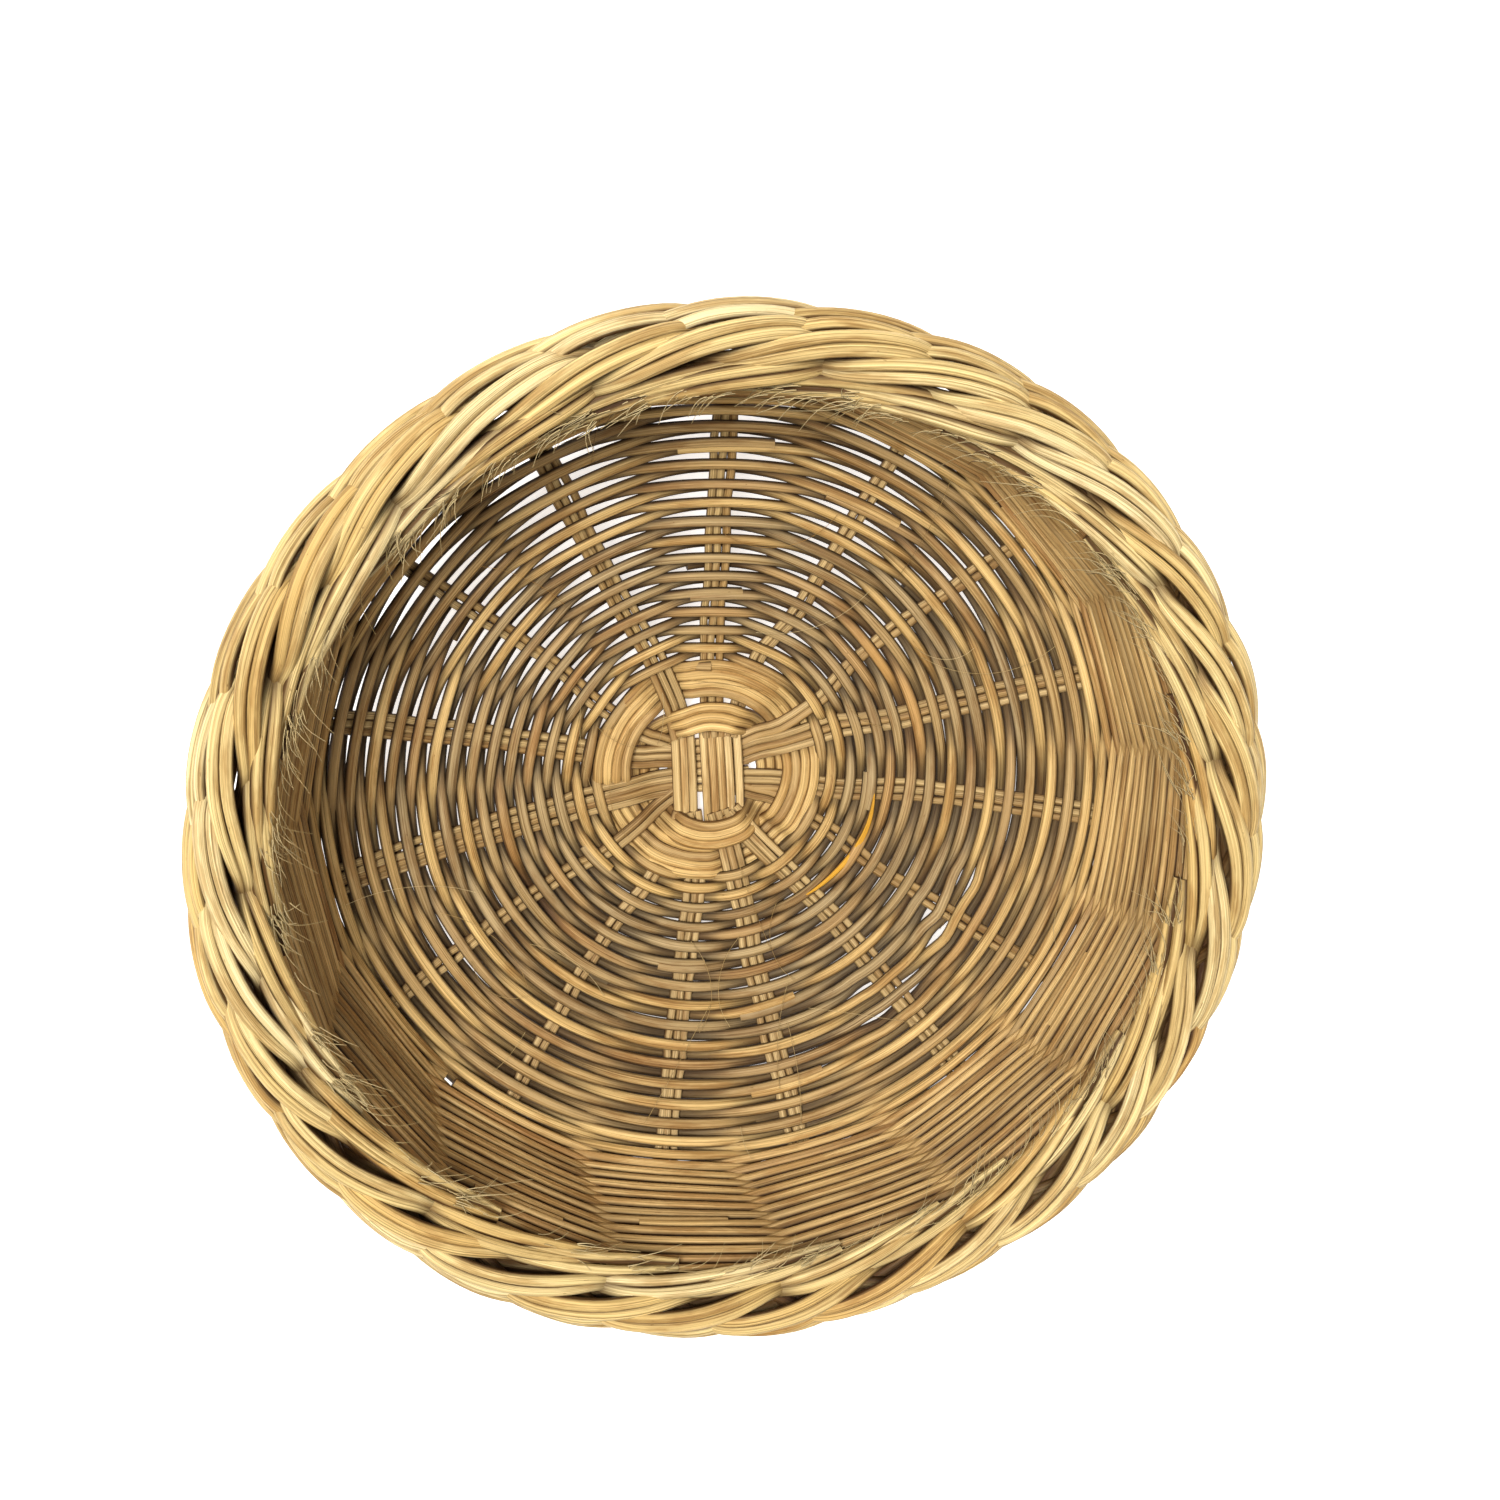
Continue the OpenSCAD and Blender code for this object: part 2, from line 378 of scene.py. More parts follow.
def cane_finish(name, tones, streak=0.5, bump=0.5, gloss=(0.42, 0.68), hollow=(-0.05, 0.85),
                darkest=(0.22, 0.14, 0.07)):
    """Natural cane: long fibres, blotches and specks, with a tone for each cane, and painted shade
    in the hollows with a painted highlight where the surface faces out.
    """
    mat = bpy.data.materials.new(name)
    mat.use_nodes = True
    tree = mat.node_tree
    tree.nodes.clear()
    out = node(tree, "ShaderNodeOutputMaterial")
    skin = node(tree, "ShaderNodeBsdfPrincipled")
    link(tree, skin.outputs[0], out.inputs[0])

    def attribute(key, output):
        return node(tree, "ShaderNodeAttribute", attribute_name=key).outputs[output]

    across, along = attribute("across", "Vector"), attribute("along", "Fac")
    tone = attribute("tone", "Fac")

    def grain(around, down, detail, rough=0.6):
        """Noise with its own scale around the cane and its own down the length of it."""
        spread = node(tree, "ShaderNodeVectorMath", operation="SCALE")
        link(tree, across, spread.inputs[0])
        spread.inputs["Scale"].default_value = around
        run = node(tree, "ShaderNodeMath", operation="MULTIPLY_ADD")
        link(tree, along, run.inputs[0])
        run.inputs[1].default_value = down
        link(tree, tone, run.inputs[2])
        lift = node(tree, "ShaderNodeCombineXYZ")
        link(tree, run.outputs[0], lift.inputs["Z"])
        where = node(tree, "ShaderNodeVectorMath", operation="ADD")
        link(tree, spread.outputs[0], where.inputs[0])
        link(tree, lift.outputs[0], where.inputs[1])
        n = node(tree, "ShaderNodeTexNoise")
        n.inputs["Scale"].default_value = 1.0
        n.inputs["Detail"].default_value = detail
        n.inputs["Roughness"].default_value = rough
        link(tree, where.outputs[0], n.inputs["Vector"])
        return n.outputs[0]

    def times(colour, tint, amount):
        """The colour multiplied by the tint, by that amount."""
        mix = node(tree, "ShaderNodeMix", data_type="RGBA", blend_type="MULTIPLY")
        mix.inputs["Factor"].default_value = amount
        link(tree, colour, mix.inputs[6])
        link(tree, tint, mix.inputs[7])
        return mix.outputs[2]

    fibres = grain(4.2, 10.0, 6.0, 0.74)
    blotch = grain(0.55, 42.0, 4.0)
    specks = grain(2.2, 380.0, 2.0)

    body = ramp(tree, tones)
    link(tree, tone, body.inputs[0])
    darkest_fibre = (1 - streak, 1 - 1.12 * streak, 1 - 1.3 * streak)
    shade = ramp(tree, [(0.38, darkest_fibre), (0.465, (0.82, 0.78, 0.71)),
                        (0.53, (1.02, 1.02, 1.02)), (0.64, (1.38, 1.43, 1.55))])
    link(tree, fibres, shade.inputs[0])
    colour = times(body.outputs[0], shade.outputs[0], 1.0)
    stain = ramp(tree, [(0.38, (0.62, 0.50, 0.36)), (0.50, (1, 1, 1)), (0.64, (1.1, 1.1, 1.06))])
    link(tree, blotch, stain.inputs[0])
    colour = times(colour, stain.outputs[0], 0.75)
    dots = ramp(tree, [(0.70, (1, 1, 1)), (0.76, (0.45, 0.34, 0.24))])
    link(tree, specks, dots.inputs[0])
    colour = times(colour, dots.outputs[0], 0.8)

    # painted shade in the hollows and painted highlight out of them: how squarely the surface faces
    # out of them, more where the cane is out
    facing = node(tree, "ShaderNodeVectorMath", operation="DOT_PRODUCT")
    link(tree, node(tree, "ShaderNodeNewGeometry").outputs["Normal"], facing.inputs[0])
    link(tree, attribute("open", "Vector"), facing.inputs[1])
    side = node(tree, "ShaderNodeMath", operation="ABSOLUTE")
    link(tree, facing.outputs["Value"], side.inputs[0])
    out_here = node(tree, "ShaderNodeMath", operation="MULTIPLY")
    link(tree, facing.outputs["Value"], out_here.inputs[0])
    link(tree, attribute("lift", "Fac"), out_here.inputs[1])
    weighed = node(tree, "ShaderNodeMath", operation="MULTIPLY")
    link(tree, out_here.outputs[0], weighed.inputs[0])
    weighed.inputs[1].default_value = LIFT_SHARE
    bared = node(tree, "ShaderNodeMath", operation="MULTIPLY_ADD")
    link(tree, side.outputs[0], bared.inputs[0])
    bared.inputs[1].default_value = FACING_SHARE
    link(tree, weighed.outputs[0], bared.inputs[2])
    depth = node(tree, "ShaderNodeMapRange", interpolation_type="SMOOTHSTEP")
    depth.inputs["From Min"].default_value = hollow[0]
    depth.inputs["From Max"].default_value = hollow[1]
    link(tree, bared.outputs[0], depth.inputs["Value"])
    half_dark = tuple(0.45 + 0.55 * c for c in darkest)
    # painted shade and light: the darkest colour deep in the hollows, rising a little over white on
    # surfaces that face out
    painted_shade = ramp(tree, [(0.0, darkest), (0.4, half_dark), (0.75, (0.97, 0.96, 0.94)),
                       (1.0, (1.14, 1.13, 1.11))])
    link(tree, depth.outputs[0], painted_shade.inputs[0])
    colour = times(colour, painted_shade.outputs[0], 1.0)
    link(tree, colour, skin.inputs["Base Color"])

    rough = node(tree, "ShaderNodeMapRange")
    rough.inputs["To Min"].default_value = gloss[1]
    rough.inputs["To Max"].default_value = gloss[0]
    link(tree, blotch, rough.inputs["Value"])
    link(tree, rough.outputs[0], skin.inputs["Roughness"])
    skin.inputs["Specular IOR Level"].default_value = 0.35
    raised = node(tree, "ShaderNodeBump")
    raised.inputs["Strength"].default_value = bump
    raised.inputs["Distance"].default_value = 0.0006
    link(tree, fibres, raised.inputs["Height"])
    link(tree, raised.outputs[0], skin.inputs["Normal"])
    return mat


BASE_TONES = [(0.0, (0.66, 0.45, 0.18)), (0.3, (0.56, 0.36, 0.13)), (0.55, (0.46, 0.30, 0.12)),
              (0.75, (0.38, 0.27, 0.13)), (0.9, (0.50, 0.26, 0.07)), (1.0, (0.72, 0.37, 0.03))]
WALL_TONES = [(0.0, (0.68, 0.46, 0.19)), (0.35, (0.58, 0.38, 0.15)), (0.6, (0.50, 0.32, 0.12)),
              (0.8, (0.42, 0.28, 0.12)), (1.0, (0.50, 0.26, 0.08))]
BORDER_TONES = [(0.0, (0.78, 0.63, 0.34)), (0.4, (0.69, 0.52, 0.23)), (0.75, (0.60, 0.41, 0.15)),
                (1.0, (0.59, 0.33, 0.09))]
STAKE_TONES = [(0.0, (0.52, 0.36, 0.16)), (0.5, (0.43, 0.29, 0.12)), (1.0, (0.36, 0.21, 0.07))]

SLATH_TONES = [(0.0, (0.68, 0.50, 0.24)), (0.5, (0.58, 0.40, 0.17)), (1.0, (0.52, 0.33, 0.13))]

base_finish = cane_finish("base cane", BASE_TONES, streak=0.62, bump=0.7, hollow=(0.13, 1.01),
                          darkest=(0.10, 0.07, 0.035))
wall_finish = cane_finish("wall cane", WALL_TONES, streak=0.6, bump=0.7, hollow=(0.0, 0.9),
                          darkest=(0.16, 0.11, 0.06))
stake_finish = cane_finish("stake cane", STAKE_TONES, streak=0.55, hollow=(0.0, 0.75))
slath_finish = cane_finish("slath cane", SLATH_TONES, streak=0.4, hollow=(0.063, 0.6))
lash_finish = cane_finish("lashing cane", BASE_TONES, streak=0.5, hollow=(0.063, 0.6))
border_finish = cane_finish("border cane", BORDER_TONES, streak=0.55, bump=0.7, gloss=(0.4, 0.6),
                            hollow=(0.0, 0.82), darkest=(0.16, 0.10, 0.05))


# ---------------------------------------------------------------- weavers

def row_pitch(s):
    """Distance between neighbouring rows of weaving at distance s along the weave line."""
    w = smooth((s - S_EDGE + 12) / (S_FOOT - S_EDGE + 10))
    return BASE_PITCH * (1 - w) + WALL_PITCH * w


# stakes passed by the weaver against its distance along the weave line
WOVEN_S = np.linspace(0.0, S_END - 0.6, 4000)
PER_MM = STAKES / row_pitch((WOVEN_S[1:] + WOVEN_S[:-1]) / 2)
WOVEN_T = np.concatenate([[0], np.cumsum(PER_MM * np.diff(WOVEN_S))])
T_SEAM = float(np.interp((S_EDGE + S_FOOT) / 2, WOVEN_S, WOVEN_T))

# small openings where neighbouring rows of the base are pushed apart: radius and direction
OPENINGS = [(86.5, -23.0), (82.5, -33.0), (88.0, -36.0),
            (92.0, -49.0), (86.0, -56.0), (92.5, -56.5)]
# the base is woven loosest towards this direction and closest opposite it, in degrees
CLOSE_FROM = 105
CLOSE_THICKER, CLOSE_FLATTER = 0.15, 0.15
# radius of the weaver against the pitch of its rows
WEAVER_PITCHES, WEAVER_RADII = (2.04, 2.5, 3.06), (1.36, 1.54, 1.56)
GOLD_TONE, MOST_TONE = 1.0, 0.92
JOIN = 0.9          # how far two lengths lie side by side where they join, in stakes and in mm


def weave(lines, rng, t0, t1, first_cut, turns, swing, tone_range, dense=14):
    """One long weaver from t0 to t1, counted in stakes passed, in lengths joined end to end."""
    cuts = [t0]
    t = t0 + first_cut
    while t < t1 - 8:
        cuts.append(round(t))
        t += STAKES * rng.uniform(*turns)
    cuts.append(t1)
    for i, (a, b) in enumerate(zip(cuts[:-1], cuts[1:])):
        a2 = a - 0.3 if i else a
        b2 = b + 0.3 if i < len(cuts) - 2 else b
        t = np.arange(a2, b2, 1 / dense)
        s = np.interp(t, WOVEN_T, WOVEN_S)
        k = np.floor(t).astype(int)
        f = t - k
        s_wander, n_wander = Wander(rng, 0.16, 40), Wander(rng, 0.10, 11)
        s = s + s_wander(t) + n_wander(3.1 * t)
        near_start, near_end = 1 - smooth((t - a2) / JOIN), 1 - smooth((b2 - t) / JOIN)
        if i:
            s = s + JOIN * near_start
        if i < len(cuts) - 2:
            s = s - JOIN * near_end
        a0, a1 = stake_angle(k, s), stake_angle(k + 1, s)
        theta = a0 + (a1 - a0) * f
        for gap_r, gap_at in OPENINGS:
            past = s - from_lashing(gap_r)
            aside = np.degrees((theta - math.radians(gap_at) + math.pi) % TURN - math.pi)
            s = s + 1.15 * np.tanh(past / 0.7) * np.exp(-(past / 6) ** 2 - (aside / 3.2) ** 2)
        c = np.cos(math.pi * t)
        wave = np.sign(c) * np.abs(c) ** 0.82
        close = smooth(1.15 - 1.15 * np.cos(theta - math.radians(CLOSE_FROM)))
        lift = swing * wave * (1 - CLOSE_FLATTER * close) + n_wander(t)
        r = np.interp(row_pitch(s), WEAVER_PITCHES, WEAVER_RADII) * (1 + CLOSE_THICKER * close)
        r = r * rng.uniform(0.95, 1.06) * (1 + 0.03 * Wander(rng, 1, 9)(t))
        tone = rng.uniform(*tone_range) + 0.06 * Wander(rng, 1, 12)(t)
        tone = np.clip(tone, 0, MOST_TONE)
        # rows that dip under a stake get a low lift, so the finish paints them in darker shade
        _, _, nr, nz = on_line(s)
        out = np.stack([nr * np.cos(theta), nr * np.sin(theta), nz], 1)
        lines.add(on_weave(theta, s, lift), r, tone, start=rng.uniform(0, 9), open=out,
                  lift=lift / swing)


rng = np.random.default_rng(7)
base_lines = Lines()
weave(base_lines, rng, 0, T_SEAM, 19, (1.1, 2.6), BASE_SWING, (0.0, 0.85))

# a golden strip of cane lies loose on the base: directions of its two ends, in degrees
GOLD_FROM, GOLD_TO = -7.0, -53.0
way = np.linspace(0, 1, 40)
angle = np.radians(GOLD_FROM + (GOLD_TO - GOLD_FROM) * way)
gold_s = from_lashing(53.0 - 1.2 * way ** 3 + 0.6 * np.sin(5 * way))
gold_radius = 0.28 + 0.78 * np.sin(math.pi * way) ** 0.7
gold_points = on_weave(angle, gold_s, 3.1 + 0.7 * np.sin(9 * way))
base_lines.add(gold_points, gold_radius, GOLD_TONE, start=3.0)
grow("base_weaver", base_lines, base_finish, ["base_weave"], sides=10)

rng = np.random.default_rng(11)
wall_lines = Lines()
weave(wall_lines, rng, T_SEAM, float(WOVEN_T[-1]), 22, (1.2, 2.8), WALL_SWING, (0.0, 0.9), dense=15)
grow("wall_weaver", wall_lines, wall_finish, ["wall_weave"], sides=9, seed=2.0)


# ---------------------------------------------------------------- slath and lashing

def bunch(lines, rng, n, start, end, pitch, z, bow=0.0):
    """A flat bunch of n canes side by side from start to end, at height z."""
    start, end = np.array(start, float), np.array(end, float)
    way = (end - start) / np.linalg.norm(end - start)
    side = np.array([-way[1], way[0]])
    for i in range(n):
        off = (i - (n - 1) / 2) * pitch
        knots = []
        for t in np.linspace(0, 1, 5):
            aside = off * (1 + bow * math.sin(math.pi * t)) + rng.uniform(-0.08, 0.08)
            p = start + (end - start) * t + side * aside
            knots.append((p[0], p[1], z - 1.2 * abs(2 * t - 1) ** 3 + rng.uniform(-0.06, 0.06)))
        # the lower bunches get a shorter open direction, so the finish paints them in darker shade
        lines.add(curve_through(knots, 22), STAKE_CANE * rng.uniform(0.97, 1.06),
                  rng.uniform(0, 0.9), start=rng.uniform(0, 9),
                  open=(0, 0, 1 if z > MID_Z else 0.75), lift=0.0)


# for each bunch of the cross: number of canes, start, end and distance between canes
SLATH = {
    "slath_over_left": [(3, (-7.5, -15.5), (-8.5, 15.5), 2.4)],
    "slath_over_right": [(4, (3.2, -15.5), (1.6, 15.5), 2.5), (1, (9.7, -11), (8.4, 14.5), 2.5)],
    "slath_under_back": [(4, (-13, 5.9), (12.5, 6.5), 2.4)],
    "slath_under_front": [(3, (-13, -2.3), (12.5, -2.6), 2.6)],
}
rng = np.random.default_rng(5)
for name, bunches in SLATH.items():
    lines = Lines()
    for n, start, end, pitch in bunches:
        height = MID_Z + 1.3 if "over" in name else MID_Z - 1.3
        bunch(lines, rng, n, start, end, pitch, height, bow=0.02)
    grow(name + "_canes", lines, slath_finish, [name], sides=12, seed=3.0)


def level(angle, stops):
    """Height of a lashing cane at an angle in degrees: over (1) or under (-1) at the stops."""
    at = np.array([a for a, _ in stops] + [stops[0][0] + 360], float)
    up = np.array([h for _, h in stops] + [stops[0][1]], float)
    x = (np.asarray(angle) - at[0]) % 360 + at[0]
    i = np.clip(np.searchsorted(at, x, side="right") - 1, 0, len(at) - 2)
    f = smooth((x - at[i]) / (at[i + 1] - at[i]))
    return up[i] + (up[i + 1] - up[i]) * f


# where the inner and outer rounds of the lashing pass over (1) and under (-1), by direction
INNER = [(-36, -1), (38, -1), (72, 1), (110, 1), (144, -1), (214, -1), (244, 1), (296, 1)]
OUTER = [(-20, 1), (6, 1), (18, -1), (40, -1), (62, 1), (100, 1), (110, -1), (119, -1), (134, 1),
         (178, 1), (187, -1), (222, -1), (234, 1), (268, 1), (281, -1), (317, -1), (327, 1)]
ROUNDS, INNER_ROUNDS = 7, 3
lash_lines = Lines()
for ring in range(ROUNDS):
    for part in range(2):
        # each round is two lengths that overlap, and each next round starts 9 degrees on
        angle = np.arange(-8 + 180 * part + 9 * ring, 180 + 180 * part + 9 * ring, 2.5)
        a = np.radians(angle)
        tilt = np.radians(angle - 125)
        if ring < INNER_ROUNDS:
            r = 16.6 + 3.0 * ring + 0.4 * np.cos(2 * a)
            z = MID_Z + 0.2 + 4.2 * level(angle, INNER)
        else:
            r = 25.3 + 2.9 * (ring - INNER_ROUNDS) + 2.0 * np.cos(tilt)
            z = dish_z(r) - 0.4 + 1.7 * level(angle, OUTER)
        r = r + Wander(rng, 0.12, 120)(angle)
        pts = np.stack([r * np.cos(a), r * np.sin(a), z], 1)
        # where the lashing passes under, its open direction is shorter, so the finish paints it in
        # darker shade
        up = level(angle, INNER if ring < INNER_ROUNDS else OUTER)
        lash_lines.add(pts, LASH_CANE * rng.uniform(0.96, 1.05), rng.uniform(0, 0.6),
                       start=rng.uniform(0, 9),
                       open=np.stack([0 * up, 0 * up, 0.85 + 0.15 * up], 1), lift=0.0)
grow("lashing_canes", lash_lines, lash_finish, ["slath_lashing"], sides=10,
     seed=4.0)


# ---------------------------------------------------------------- stakes

# for each stake: number of canes, start at the cross, way point near the outer lashing, whether
# it starts from the upper bunches (1) or the lower (0), and over (1) or under (-1) the lashing
STAKE_STARTS = [
    (3, (1.4, 12), (0.8, 24), 1, -1), (3, (-8.6, 12), (-11.2, 23.5), 1, 1),
    (2, (-9, 8.6), (-21, 13.6), 0, -1), (3, (-9, 5.6), (-24, 6.2), 0, -1),
    (4, (-9, -2.5), (-27, -4.6), 0, 1), (2, (-10, -5.9), (-23, -15.6), 0, 1),
    (2, (-9.4, -12), (-12.6, -23), 1, -1), (3, (-6.4, -12), (-4.6, -25), 1, -1),
    (3, (2.4, -12), (6, -24.5), 1, 1), (3, (6, -12), (13.6, -21.2), 1, 1),
    (2, (8, -5.4), (22, -9.6), 0, -1), (3, (8, -2.8), (23, -3.6), 0, -1),
    (3, (8, 4.6), (24, 10.0), 0, 1), (2, (8, 9.4), (22.6, 15.6), 0, 1),
    (2, (6.4, 12), (9.8, 24), 1, -1),
]


def stake(lines, rng, k):
    """The canes of stake k, from the slath to the rim."""
    n, start, way, over, up = STAKE_STARTS[k]
    z0 = MID_Z + (1.3 if over else -1.3)
    s = np.concatenate([np.linspace(7, S_EDGE, 16), np.linspace(S_EDGE, S_END + 1, 22)[1:]])
    angle = stake_angle(np.full(len(s), k), s)
    r, z, nr, nz = on_line(s)
    for i in range(n):
        off = (i - (n - 1) / 2) * STAKE_GAP * (1 if n < 4 else 0.9)
        drift = Wander(rng, 0.35, 60)(s)
        lift = Wander(rng, 0.12, 50)(s)
        rr, zz = r + nr * lift, z + nz * lift
        a = angle + (off * (1 + 0.12 * rng.uniform(-1, 1)) + drift) / rr
        far = np.stack([rr * np.cos(a), rr * np.sin(a), zz], 1)
        ahead = np.array(way) - np.array(start)
        ahead = ahead / np.linalg.norm(ahead)
        side = np.array([-ahead[1], ahead[0]])
        out = far[0, :2] - np.array(way)
        out = out / np.linalg.norm(out)
        side2 = np.array([-out[1], out[0]])
        middle = (np.array(start) + np.array(way)) / 2
        near = [(*(np.array(start) + side * off), z0),
                (*(middle + side * off), z0 + (-0.3 if over else 0.3)),
                (*(np.array(way) + (side + side2) / 2 * off), MID_Z + 1.4 + 1.3 * up)]
        knots = np.vstack([near, far])
        pts = curve_through(knots, 3 * len(knots))
        # open follows the weave line, so the finish paints shade on the flanks of the stake canes
        at = np.interp(np.linspace(0, len(knots) - 1, len(pts)), np.arange(3, len(knots)), s)
        _, _, open_r, open_z = on_line(at)
        far_r = np.hypot(pts[:, 0], pts[:, 1])
        out = np.stack([open_r * pts[:, 0] / far_r, open_r * pts[:, 1] / far_r, open_z], 1)
        lines.add(pts, STAKE_CANE * rng.uniform(0.94, 1.06), rng.uniform(0.0, 0.9),
                  start=rng.uniform(0, 9), open=out, lift=0.0)


for k in range(STAKES):
    rng = np.random.default_rng(100 + k)
    lines = Lines()
    stake(lines, rng, k)
    name = f"stake_{k + 1:02d}"
    grow(name + "_canes", lines, stake_finish, [name], sides=9, seed=5.0 + k)


# ---------------------------------------------------------------- border

# path of a strand along the border. Each knot: stakes passed, offset outwards, height above
# the middle of the border, and how far the second cane lies to the inside of the first
UP_AND_OVER = [
    (0.00, -5.2, -11.0, 0.3), (0.18, -3.0, -5.5, 0.4), (0.32, 1.6, -2.4, 0.5),
    (0.43, 4.6, 0.8, 0.65), (0.54, 5.8, 3.4, 0.8), (0.70, 5.2, 5.2, 0.95), (0.92, 3.1, 5.9, 1.0),
    (1.11, 0.5, 5.3, 1.0), (1.25, -1.6, 3.7, 0.85), (1.37, -2.8, 1.2, 0.6),
    (1.52, -1.6, -2.8, 0.5), (1.84, 3.6, -4.6, 0.7), (2.20, 5.0, -3.8, 0.8)]
OUTSIDE = [
    (2.42, 7.8, -3.4, 0.8), (2.56, 9.3, -1.9, 0.9), (2.74, 9.8, -0.4, 1.0), (2.92, 9.3, 0.6, 1.0),
    (3.08, 7.8, 0.5, 1.0), (3.22, 6.0, -0.7, 0.8), (3.38, 3.8, -2.2, 0.5)]
STEEP_END = [
    (3.70, -0.6, -2.2, 0.5), (3.90, -2.0, -0.4, 0.6), (4.02, -3.2, 2.0, 0.9),
    (4.15, -4.5, 3.4, 1.05), (4.33, -5.9, 3.0, 1.05), (4.56, -7.2, 1.2, 1.0),
    (4.76, -8.0, -1.2, 0.8), (4.90, -8.1, -3.6, 0.5)]
SHALLOW_END = [
    (3.58, -1.2, -2.2, 0.5), (3.74, -2.8, -0.6, 0.7), (3.90, -4.2, 0.9, 0.95),
    (4.08, -5.4, 1.3, 1.05), (4.32, -6.7, 0.3, 1.05), (4.56, -7.8, -1.5, 1.0),
    (4.78, -8.3, -3.6, 0.6)]
PAIR = 3.3
# the way from the first cane to the second tips with the offset: offsets, and degrees
TIP_AT, TIP = (-8, -3, 2, 6, 8, 10), (-46, -20, 0, 10, 32, 58)


def border_knots(second, steep):
    """One cane of a border strand: its knots, the second cane being on the inside."""
    knots = []
    for u, x, z, gap in UP_AND_OVER + OUTSIDE + (STEEP_END if steep else SHALLOW_END):
        if second:
            slope = math.radians(np.interp(x, TIP_AT, TIP))
            x -= PAIR * gap * math.cos(slope)
            z += PAIR * gap * math.sin(slope)
        knots.append((u, x, z))
    return knots


BORDER_TURN = 97    # direction at which the even spacing of the strands starts, in degrees
EVENNESS = 0.7      # how far the strands follow the even spacing rather than the stakes
cut_ends = []       # where each border cane is cut, and which way it points there


def border_strand(lines, rng, stake_no, half):
    """Two canes side by side, worked over and under along the rim."""
    steep = half == 1
    turn = rng.uniform(-0.05, 0.05)
    sway = rng.uniform(-0.5, 0.5, 2)
    tone = rng.uniform(0, 0.75)
    for second in (0, 1):
        knots = np.array(border_knots(second, steep))
        if half:
            knots[:3, 0] -= (0.5, 0.35, 0.12)
        knots[:, 1] += sway[0] * np.sin(knots[:, 0] * 1.7)
        knots[:, 2] += 0.4 * sway[1] * np.sin(knots[:, 0] * 2.3)
        line = curve_through(knots, 92)
        u = line[:, 0] + half * 0.5 + turn
        s_top = np.full(len(u), S_END - 2)
        k = np.floor(u).astype(int)
        a0 = stake_angle(k + stake_no, s_top)
        a1 = stake_angle(k + stake_no + 1, s_top)
        even = math.radians(BORDER_TURN) + TURN / STAKES * (u + stake_no)
        theta = (1 - EVENNESS) * (a0 + (a1 - a0) * (u - k)) + EVENNESS * even
        r = BORDER_R + line[:, 1]
        pts = np.stack([r * np.cos(theta), r * np.sin(theta), BORDER_Z + line[:, 2]], 1)
        size = BORDER_CANE * rng.uniform(0.93, 1.08) * (1 + 0.05 * Wander(rng, 1, 2)(u))
        size = size * (1 - 0.22 * smooth((line[:, 0] - 4.5) / 0.4))
        # open shrinks where the strand dips in near the middle of the border, so the finish paints
        # shade there
        lean = np.clip(np.hypot(line[:, 1] * 0.75, line[:, 2] + 1) / 7, 0, 1)
        reach = np.hypot(line[:, 1] * 0.6, line[:, 2] + 3) + 1e-6
        out_r, out_z = line[:, 1] * 0.6 / reach, (line[:, 2] + 3) / reach
        out = np.stack([out_r * np.cos(theta), out_r * np.sin(theta), out_z], 1) * lean[:, None]
        lines.add(pts, size, np.clip(tone + rng.uniform(-0.15, 0.2), 0, 1),
                  start=rng.uniform(0, 9), open=out)
        cut_ends.append((pts[-5], pts[-5] - pts[-9]))


for k in range(STAKES):
    rng = np.random.default_rng(300 + k)
    lines = Lines()
    for half in (0, 1):
        border_strand(lines, rng, k, half)
    grow(f"border_{k + 1:02d}_canes", lines, border_finish, [f"border_{k + 1:02d}"],
         sides=14, ridge=0.28, ridges=1.7, seed=20.0 + k)


# ---------------------------------------------------------------- loose fibres

RIM_HAIRS, BASE_HAIRS = 430, 30
HAIR_OPEN = (0.6, 0.6, 0.9)
rng = np.random.default_rng(9)
hairs = Lines()
for i in range(RIM_HAIRS):
    a = rng.uniform(0, TURN)
    start = np.array([BORDER_R - 9.4 + rng.uniform(-2.2, 1.0), 0,
                      BORDER_Z + rng.uniform(-2.5, 1.5)])
    long = rng.uniform(3, 15)
    head = rng.uniform(-0.5, 1.1)
    rise, into = rng.uniform(-0.6, 0.35), rng.uniform(0.0, 0.7)
    knots = []
    for t in np.linspace(0, 1, 5):
        run = long * t
        ang = a + (run * math.cos(head)) / start[0]
        r = start[0] - run * into * t - 0.3
        z = start[2] + run * rise * t - 0.4 * math.sin(3 * t) * rng.uniform(0, 1.2)
        knots.append((r * math.cos(ang), r * math.sin(ang), z))
    hairs.add(curve_through(knots, 9), np.linspace(0.17, 0.06, 9), rng.uniform(0, 0.3),
              open=HAIR_OPEN)
for end, way in cut_ends:
    way = way / np.linalg.norm(way)
    inward = np.array([-end[0], -end[1], 0]) / np.hypot(end[0], end[1])
    for i in range(rng.integers(2, 9)):
        bend = way + inward * rng.uniform(0.0, 0.7) + (0, 0, rng.uniform(-0.5, 0.35))
        turn = rng.normal(0, 0.35, 3)
        root = end + rng.normal(0, 0.8, 3) + inward * 1.3 + (0, 0, 1.0)
        long = rng.uniform(3, 11)
        knots = [root + bend * long * q + turn * long * q * q for q in np.linspace(0, 1, 4)]
        hairs.add(curve_through(knots, 7), np.linspace(0.2, 0.07, 7), rng.uniform(0, 0.2),
                  open=HAIR_OPEN)
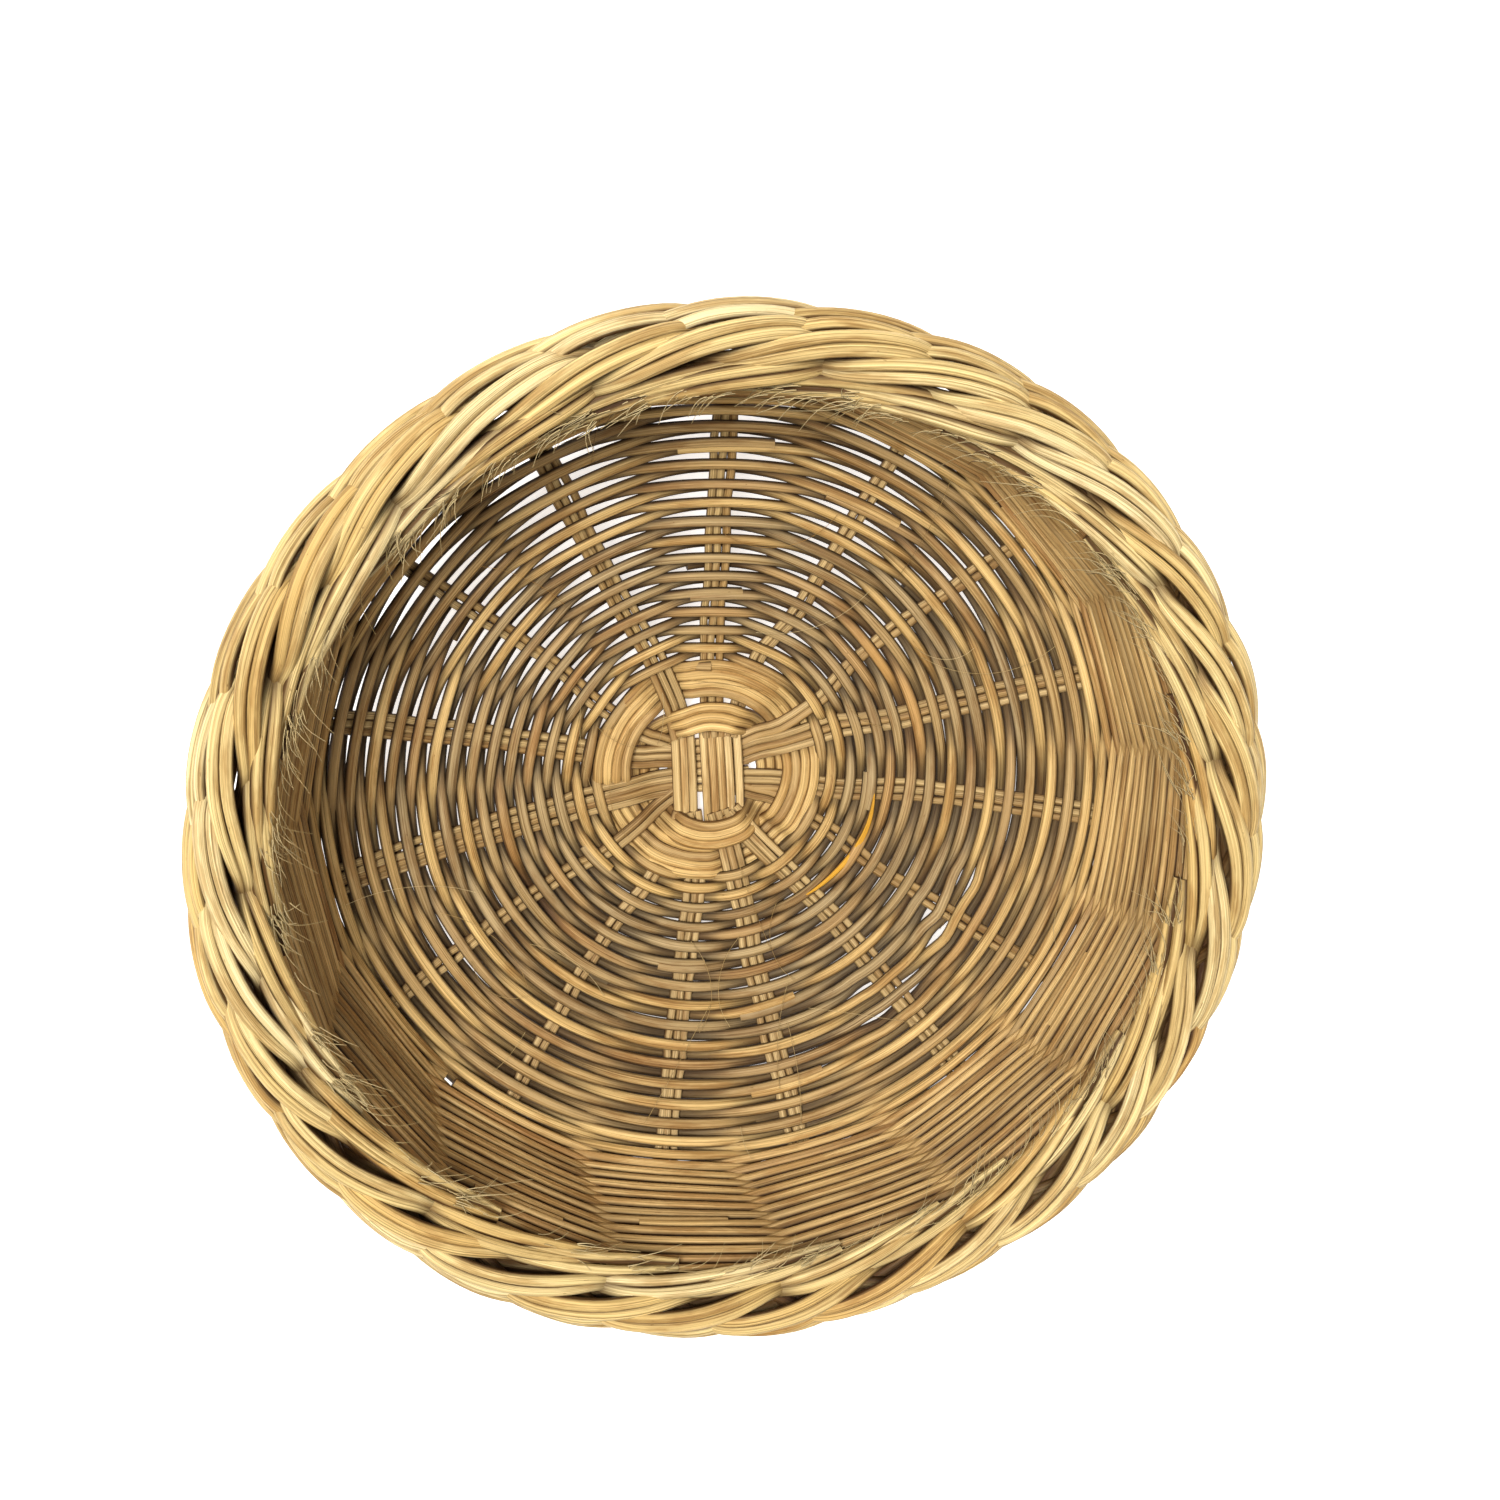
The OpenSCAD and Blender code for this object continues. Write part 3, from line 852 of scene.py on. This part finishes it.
for i in range(BASE_HAIRS):
    a = rng.uniform(0, TURN)
    r0 = rng.uniform(30, 118)
    long = rng.uniform(12, 42)
    head, curl = rng.uniform(0, TURN), rng.uniform(-1.6, 1.6)
    x, y = r0 * math.cos(a), r0 * math.sin(a)
    knots = []
    for t in np.linspace(0, 1, 7):
        q = math.hypot(x, y)
        if q > 117:
            break
        knots.append((x, y, dish_z(max(q, 30)) + 4.4 + 2.5 * math.sin(math.pi * t)))
        x += long / 6 * math.cos(head + curl * t)
        y += long / 6 * math.sin(head + curl * t)
    if len(knots) > 2:
        hairs.add(curve_through(knots, 14), 0.085, rng.uniform(0, 1), open=HAIR_OPEN)
grow("loose_fibres", hairs, border_finish, sides=4, ridge=0.0)


# ---------------------------------------------------------------- floor and light

def plain(name, colour, glow):
    """A plain matt colour that also glows a little."""
    mat = bpy.data.materials.new(name)
    mat.use_nodes = True
    skin = mat.node_tree.nodes["Principled BSDF"]
    skin.inputs["Base Color"].default_value = (*colour, 1)
    skin.inputs["Roughness"].default_value = 0.9
    skin.inputs["Specular IOR Level"].default_value = 0.0
    skin.inputs["Emission Color"].default_value = (1, 1, 1, 1)
    skin.inputs["Emission Strength"].default_value = glow
    return mat


FLOOR_Z, FLOOR_HALF = -0.0008, 3      # in metres
floor_mesh = bpy.data.meshes.new("floor")
corners = [(x * FLOOR_HALF, y * FLOOR_HALF, FLOOR_Z)
           for x, y in ((-1, -1), (1, -1), (1, 1), (-1, 1))]
floor_mesh.from_pydata(corners, [], [(0, 1, 2, 3)])
floor_mesh.materials.append(plain("pale floor", (0.9, 0.9, 0.9), glow=0.62))
floor = bpy.data.objects.new("floor", floor_mesh)
bpy.context.scene.collection.objects.link(floor)


def soft_light(name, place, size, power, target=(0, 0, 0.05)):
    """A round soft lamp of that width in metres and power in watts."""
    lamp = bpy.data.lights.new(name, "AREA")
    lamp.shape = "DISK"
    lamp.size = size
    lamp.energy = power
    obj = bpy.data.objects.new(name, lamp)
    bpy.context.scene.collection.objects.link(obj)
    aim(obj, place, target, (0, 1, 0.01))


soft_light("key", (-0.55, 0.45, 1.6), 0.7, 37)
soft_light("fill", (0.9, -0.6, 1.3), 1.4, 4)

world = bpy.data.worlds.new("studio")
bpy.context.scene.world = world
world.use_nodes = True
world.node_tree.nodes["Background"].inputs["Color"].default_value = (1, 1, 1, 1)
world.node_tree.nodes["Background"].inputs["Strength"].default_value = 0.28
bpy.context.scene.view_settings.view_transform = "Standard"
